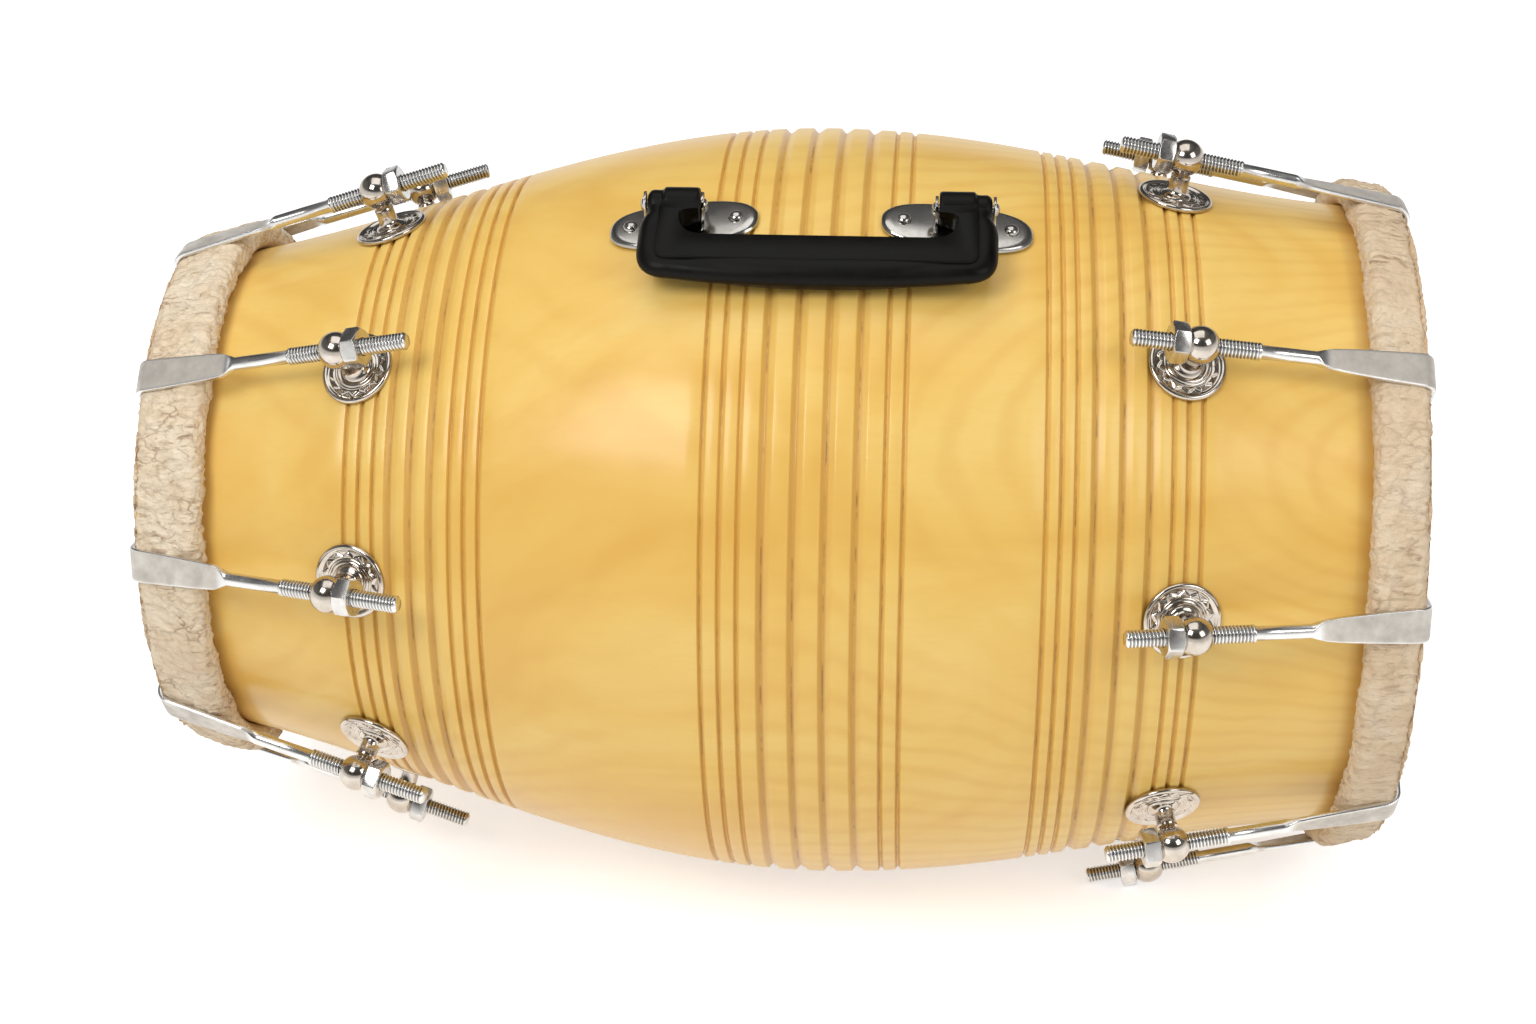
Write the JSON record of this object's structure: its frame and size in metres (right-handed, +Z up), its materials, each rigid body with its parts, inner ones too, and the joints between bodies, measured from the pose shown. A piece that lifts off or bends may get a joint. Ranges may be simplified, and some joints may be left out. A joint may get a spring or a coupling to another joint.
{
  "type": "dholak",
  "caption": "Two-headed wooden barrel drum with turned bands, skins tensioned by hooked rods and nuts on ball posts, and a folding case handle.",
  "frame": {"origin": "on the surface the drum lies on, under the middle of its length and width", "axes": "+X along the barrel from the small treble head to the large bass head, +Z up, the handle folded towards -Y"},
  "size_m": [0.4664, 0.3048, 0.3015],
  "materials": {
    "shell": "clear golden yellow lacquer over turned light wood, glossy",
    "skin": "dry rawhide, creamy tan with brown creases and stains",
    "hook": "zinc plated steel, flattened and rolled, slightly grey",
    "post": "nickel plated, polished ball and embossed rosette",
    "nut": "bright nickel plated steel",
    "bracket": "bright nickel plated pressed steel",
    "grip": "black moulded plastic, satin"
  },
  "bodies": {
    "root": {"shell": "shell", "treble_head": "skin", "treble_post_1": "post", "treble_post_2": "post", "treble_post_3": "post", "treble_post_4": "post", "treble_post_5": "post", "treble_post_6": "post", "treble_post_7": "post", "treble_post_8": "post", "treble_post_9": "post", "bass_head": "skin", "bass_post_1": "post", "bass_post_2": "post", "bass_post_3": "post", "bass_post_4": "post", "bass_post_5": "post", "bass_post_6": "post", "bass_post_7": "post", "bass_post_8": "post", "bass_post_9": "post", "treble_handle_bracket": "bracket", "bass_handle_bracket": "bracket"},
    "treble_hook_1": {"treble_hook_1": "hook"},
    "treble_nut_1": {"treble_nut_1": "nut"},
    "treble_hook_2": {"treble_hook_2": "hook"},
    "treble_nut_2": {"treble_nut_2": "nut"},
    "treble_hook_3": {"treble_hook_3": "hook"},
    "treble_nut_3": {"treble_nut_3": "nut"},
    "treble_hook_4": {"treble_hook_4": "hook"},
    "treble_nut_4": {"treble_nut_4": "nut"},
    "treble_hook_5": {"treble_hook_5": "hook"},
    "treble_nut_5": {"treble_nut_5": "nut"},
    "treble_hook_6": {"treble_hook_6": "hook"},
    "treble_nut_6": {"treble_nut_6": "nut"},
    "treble_hook_7": {"treble_hook_7": "hook"},
    "treble_nut_7": {"treble_nut_7": "nut"},
    "treble_hook_8": {"treble_hook_8": "hook"},
    "treble_nut_8": {"treble_nut_8": "nut"},
    "treble_hook_9": {"treble_hook_9": "hook"},
    "treble_nut_9": {"treble_nut_9": "nut"},
    "bass_hook_1": {"bass_hook_1": "hook"},
    "bass_nut_1": {"bass_nut_1": "nut"},
    "bass_hook_2": {"bass_hook_2": "hook"},
    "bass_nut_2": {"bass_nut_2": "nut"},
    "bass_hook_3": {"bass_hook_3": "hook"},
    "bass_nut_3": {"bass_nut_3": "nut"},
    "bass_hook_4": {"bass_hook_4": "hook"},
    "bass_nut_4": {"bass_nut_4": "nut"},
    "bass_hook_5": {"bass_hook_5": "hook"},
    "bass_nut_5": {"bass_nut_5": "nut"},
    "bass_hook_6": {"bass_hook_6": "hook"},
    "bass_nut_6": {"bass_nut_6": "nut"},
    "bass_hook_7": {"bass_hook_7": "hook"},
    "bass_nut_7": {"bass_nut_7": "nut"},
    "bass_hook_8": {"bass_hook_8": "hook"},
    "bass_nut_8": {"bass_nut_8": "nut"},
    "bass_hook_9": {"bass_hook_9": "hook"},
    "bass_nut_9": {"bass_nut_9": "nut"},
    "handle": {"handle_grip": "grip"}
  },
  "joints": [
    {"name": "treble_hook_slide_1", "type": "slide", "parent": "root", "child": "treble_hook_1", "axis": [-0.9491, 0, -0.3149], "range_m": [0, 0.008]},
    {"name": "treble_nut_turn_1", "type": "hinge", "parent": "root", "child": "treble_nut_1", "pos_m": [-0.1452, 0, 0.27608], "axis": [0.9491, 0, 0.3149], "range_deg": [0, 2268.2]},
    {"name": "treble_hook_slide_2", "type": "slide", "parent": "root", "child": "treble_hook_2", "axis": [-0.9491, 0.2024, -0.2412], "range_m": [0, 0.008]},
    {"name": "treble_nut_turn_2", "type": "hinge", "parent": "root", "child": "treble_nut_2", "pos_m": [-0.1452, -0.08317, 0.24581], "axis": [0.9491, -0.2024, 0.2412], "range_deg": [0, 2268.2]},
    {"name": "treble_hook_slide_3", "type": "slide", "parent": "root", "child": "treble_hook_3", "axis": [-0.9491, 0.3101, -0.0547], "range_m": [0, 0.008]},
    {"name": "treble_nut_turn_3", "type": "hinge", "parent": "root", "child": "treble_nut_3", "pos_m": [-0.1452, -0.12743, 0.16916], "axis": [0.9491, -0.3101, 0.0547], "range_deg": [0, 2268.2]},
    {"name": "treble_hook_slide_4", "type": "slide", "parent": "root", "child": "treble_hook_4", "axis": [-0.9491, 0.2727, 0.1574], "range_m": [0, 0.008]},
    {"name": "treble_nut_turn_4", "type": "hinge", "parent": "root", "child": "treble_nut_4", "pos_m": [-0.1452, -0.11206, 0.082], "axis": [0.9491, -0.2727, -0.1574], "range_deg": [0, 2268.2]},
    {"name": "treble_hook_slide_5", "type": "slide", "parent": "root", "child": "treble_hook_5", "axis": [-0.9491, 0.1077, 0.2959], "range_m": [0, 0.008]},
    {"name": "treble_nut_turn_5", "type": "hinge", "parent": "root", "child": "treble_nut_5", "pos_m": [-0.1452, -0.04425, 0.0251], "axis": [0.9491, -0.1077, -0.2959], "range_deg": [0, 2268.2]},
    {"name": "treble_hook_slide_6", "type": "slide", "parent": "root", "child": "treble_hook_6", "axis": [-0.9491, -0.1077, 0.2959], "range_m": [0, 0.008]},
    {"name": "treble_nut_turn_6", "type": "hinge", "parent": "root", "child": "treble_nut_6", "pos_m": [-0.1452, 0.04425, 0.0251], "axis": [0.9491, 0.1077, -0.2959], "range_deg": [0, 2268.2]},
    {"name": "treble_hook_slide_7", "type": "slide", "parent": "root", "child": "treble_hook_7", "axis": [-0.9491, -0.2727, 0.1574], "range_m": [0, 0.008]},
    {"name": "treble_nut_turn_7", "type": "hinge", "parent": "root", "child": "treble_nut_7", "pos_m": [-0.1452, 0.11206, 0.082], "axis": [0.9491, 0.2727, -0.1574], "range_deg": [0, 2268.2]},
    {"name": "treble_hook_slide_8", "type": "slide", "parent": "root", "child": "treble_hook_8", "axis": [-0.9491, -0.3101, -0.0547], "range_m": [0, 0.008]},
    {"name": "treble_nut_turn_8", "type": "hinge", "parent": "root", "child": "treble_nut_8", "pos_m": [-0.1452, 0.12743, 0.16916], "axis": [0.9491, 0.3101, 0.0547], "range_deg": [0, 2268.2]},
    {"name": "treble_hook_slide_9", "type": "slide", "parent": "root", "child": "treble_hook_9", "axis": [-0.9491, -0.2024, -0.2412], "range_m": [0, 0.008]},
    {"name": "treble_nut_turn_9", "type": "hinge", "parent": "root", "child": "treble_nut_9", "pos_m": [-0.1452, 0.08317, 0.24581], "axis": [0.9491, 0.2024, 0.2412], "range_deg": [0, 2268.2]},
    {"name": "bass_hook_slide_1", "type": "slide", "parent": "root", "child": "bass_hook_1", "axis": [0.9788, 0, -0.205], "range_m": [0, 0.012]},
    {"name": "bass_nut_turn_1", "type": "hinge", "parent": "root", "child": "bass_nut_1", "pos_m": [0.14225, 0, 0.29361], "axis": [-0.9788, 0, 0.205], "range_deg": [0, 3402.1]},
    {"name": "bass_hook_slide_2", "type": "slide", "parent": "root", "child": "bass_hook_2", "axis": [0.9788, 0.1318, -0.157], "range_m": [0, 0.012]},
    {"name": "bass_nut_turn_2", "type": "hinge", "parent": "root", "child": "bass_nut_2", "pos_m": [0.14225, -0.09444, 0.25924], "axis": [-0.9788, -0.1318, 0.157], "range_deg": [0, 3402.1]},
    {"name": "bass_hook_slide_3", "type": "slide", "parent": "root", "child": "bass_hook_3", "axis": [0.9788, 0.2019, -0.0356], "range_m": [0, 0.012]},
    {"name": "bass_nut_turn_3", "type": "hinge", "parent": "root", "child": "bass_nut_3", "pos_m": [0.14225, -0.14469, 0.1722], "axis": [-0.9788, -0.2019, 0.0356], "range_deg": [0, 3402.1]},
    {"name": "bass_hook_slide_4", "type": "slide", "parent": "root", "child": "bass_hook_4", "axis": [0.9788, 0.1775, 0.1025], "range_m": [0, 0.012]},
    {"name": "bass_nut_turn_4", "type": "hinge", "parent": "root", "child": "bass_nut_4", "pos_m": [0.14225, -0.12724, 0.07323], "axis": [-0.9788, -0.1775, -0.1025], "range_deg": [0, 3402.1]},
    {"name": "bass_hook_slide_5", "type": "slide", "parent": "root", "child": "bass_hook_5", "axis": [0.9788, 0.0701, 0.1926], "range_m": [0, 0.012]},
    {"name": "bass_nut_turn_5", "type": "hinge", "parent": "root", "child": "bass_nut_5", "pos_m": [0.14225, -0.05025, 0.00863], "axis": [-0.9788, -0.0701, -0.1926], "range_deg": [0, 3402.1]},
    {"name": "bass_hook_slide_6", "type": "slide", "parent": "root", "child": "bass_hook_6", "axis": [0.9788, -0.0701, 0.1926], "range_m": [0, 0.012]},
    {"name": "bass_nut_turn_6", "type": "hinge", "parent": "root", "child": "bass_nut_6", "pos_m": [0.14225, 0.05025, 0.00863], "axis": [-0.9788, 0.0701, -0.1926], "range_deg": [0, 3402.1]},
    {"name": "bass_hook_slide_7", "type": "slide", "parent": "root", "child": "bass_hook_7", "axis": [0.9788, -0.1775, 0.1025], "range_m": [0, 0.012]},
    {"name": "bass_nut_turn_7", "type": "hinge", "parent": "root", "child": "bass_nut_7", "pos_m": [0.14225, 0.12724, 0.07323], "axis": [-0.9788, 0.1775, -0.1025], "range_deg": [0, 3402.1]},
    {"name": "bass_hook_slide_8", "type": "slide", "parent": "root", "child": "bass_hook_8", "axis": [0.9788, -0.2019, -0.0356], "range_m": [0, 0.012]},
    {"name": "bass_nut_turn_8", "type": "hinge", "parent": "root", "child": "bass_nut_8", "pos_m": [0.14225, 0.14469, 0.1722], "axis": [-0.9788, 0.2019, 0.0356], "range_deg": [0, 3402.1]},
    {"name": "bass_hook_slide_9", "type": "slide", "parent": "root", "child": "bass_hook_9", "axis": [0.9788, -0.1318, -0.157], "range_m": [0, 0.012]},
    {"name": "bass_nut_turn_9", "type": "hinge", "parent": "root", "child": "bass_nut_9", "pos_m": [0.14225, 0.09444, 0.25924], "axis": [-0.9788, 0.1318, 0.157], "range_deg": [0, 3402.1]},
    {"name": "handle_swing", "type": "hinge", "parent": "root", "child": "handle", "pos_m": [0.01775, -0.05218, 0.29005], "axis": [-1, 0, 0], "range_deg": [0, 188]}
  ],
  "couplings": [
    {"joint": "treble_nut_turn_1", "follows": "treble_hook_slide_1", "rad_per_m": 4947.4},
    {"joint": "treble_nut_turn_2", "follows": "treble_hook_slide_2", "rad_per_m": 4947.4},
    {"joint": "treble_nut_turn_3", "follows": "treble_hook_slide_3", "rad_per_m": 4947.4},
    {"joint": "treble_nut_turn_4", "follows": "treble_hook_slide_4", "rad_per_m": 4947.4},
    {"joint": "treble_nut_turn_5", "follows": "treble_hook_slide_5", "rad_per_m": 4947.4},
    {"joint": "treble_nut_turn_6", "follows": "treble_hook_slide_6", "rad_per_m": 4947.4},
    {"joint": "treble_nut_turn_7", "follows": "treble_hook_slide_7", "rad_per_m": 4947.4},
    {"joint": "treble_nut_turn_8", "follows": "treble_hook_slide_8", "rad_per_m": 4947.4},
    {"joint": "treble_nut_turn_9", "follows": "treble_hook_slide_9", "rad_per_m": 4947.4},
    {"joint": "bass_nut_turn_1", "follows": "bass_hook_slide_1", "rad_per_m": 4947.4},
    {"joint": "bass_nut_turn_2", "follows": "bass_hook_slide_2", "rad_per_m": 4947.4},
    {"joint": "bass_nut_turn_3", "follows": "bass_hook_slide_3", "rad_per_m": 4947.4},
    {"joint": "bass_nut_turn_4", "follows": "bass_hook_slide_4", "rad_per_m": 4947.4},
    {"joint": "bass_nut_turn_5", "follows": "bass_hook_slide_5", "rad_per_m": 4947.4},
    {"joint": "bass_nut_turn_6", "follows": "bass_hook_slide_6", "rad_per_m": 4947.4},
    {"joint": "bass_nut_turn_7", "follows": "bass_hook_slide_7", "rad_per_m": 4947.4},
    {"joint": "bass_nut_turn_8", "follows": "bass_hook_slide_8", "rad_per_m": 4947.4},
    {"joint": "bass_nut_turn_9", "follows": "bass_hook_slide_9", "rad_per_m": 4947.4}
  ]
}
